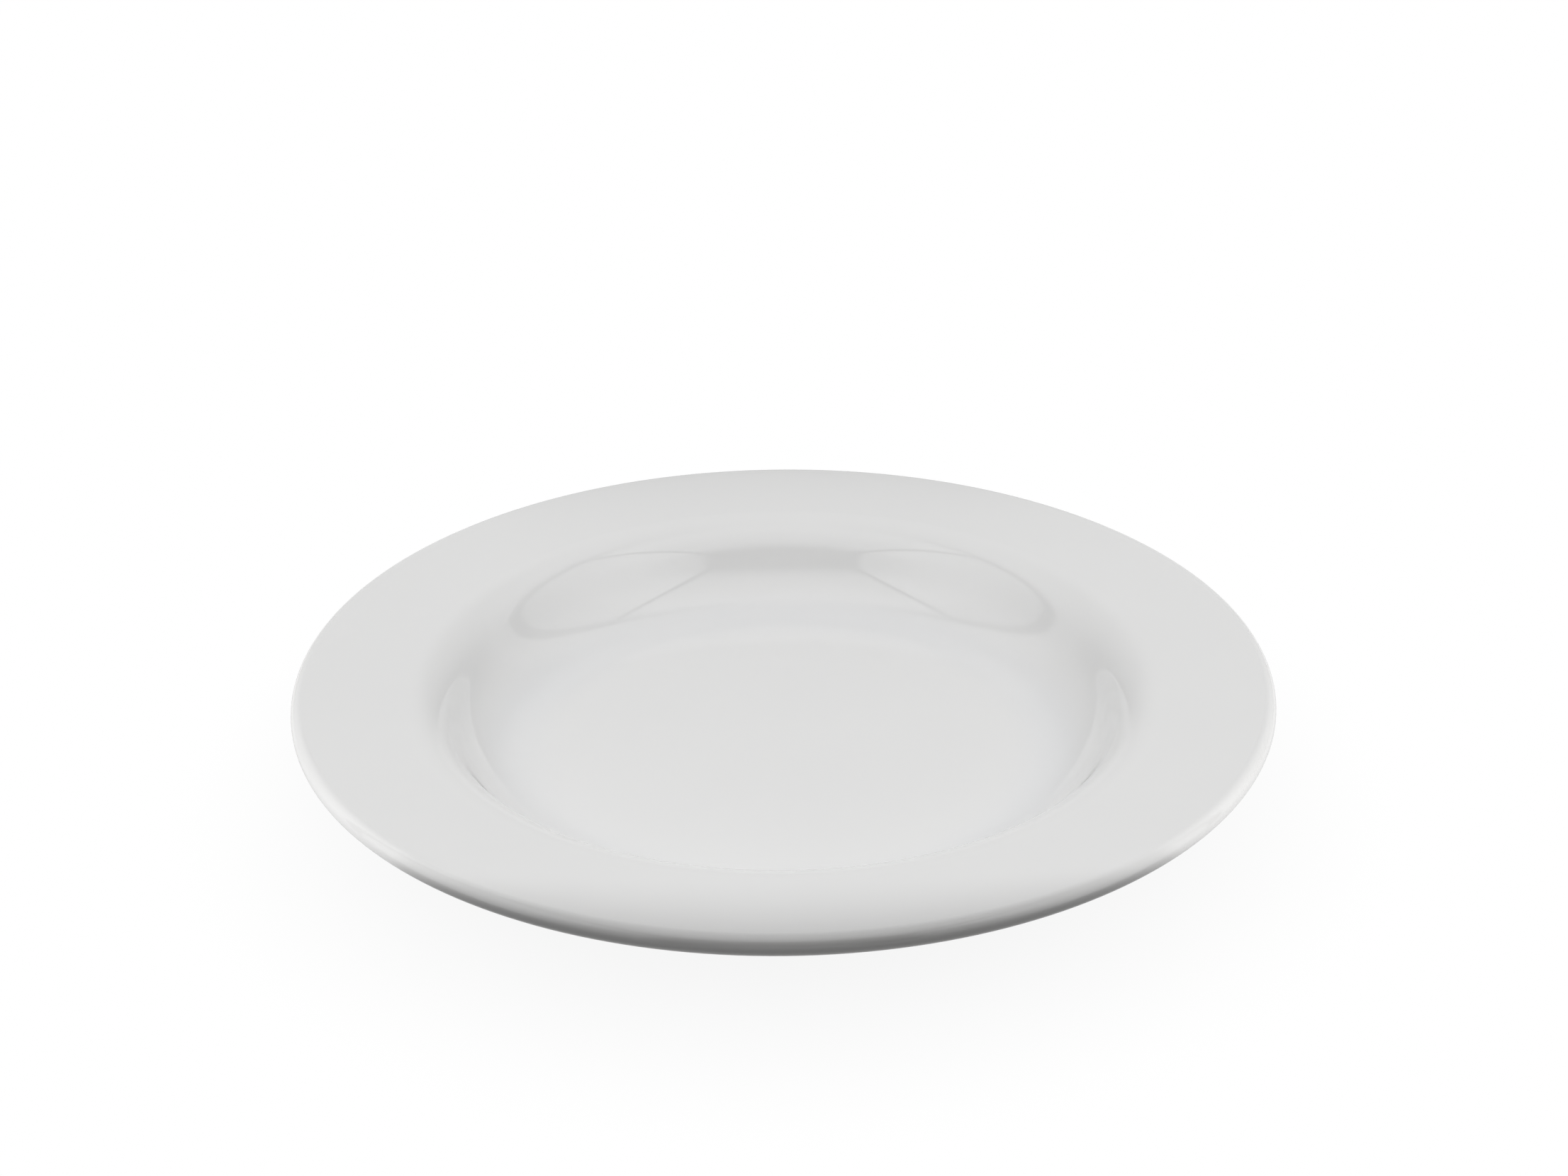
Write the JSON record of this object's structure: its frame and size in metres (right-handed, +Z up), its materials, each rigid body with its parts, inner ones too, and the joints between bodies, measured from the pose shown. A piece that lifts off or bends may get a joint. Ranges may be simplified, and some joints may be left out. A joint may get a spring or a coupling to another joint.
{
  "type": "rimmed soup plate",
  "caption": "Round rimmed soup plate in glossy white porcelain: a broad, almost level rim round a shallow flat-floored well, standing on a bare foot ring.",
  "frame": {"origin": "middle of the circle on which the foot ring rests", "axes": "+Z up along the plate's axis, out of the well; X and Y are alike, because the plate is round"},
  "size_m": [0.23, 0.23, 0.0296],
  "materials": {
    "bisque": "matte, fine-grained fired clay",
    "glaze": "gloss"
  },
  "bodies": {
    "root": {"porcelain_body": "bisque", "glaze_coat": "glaze", "foot_recess_glaze": "glaze"}
  },
  "joints": []
}
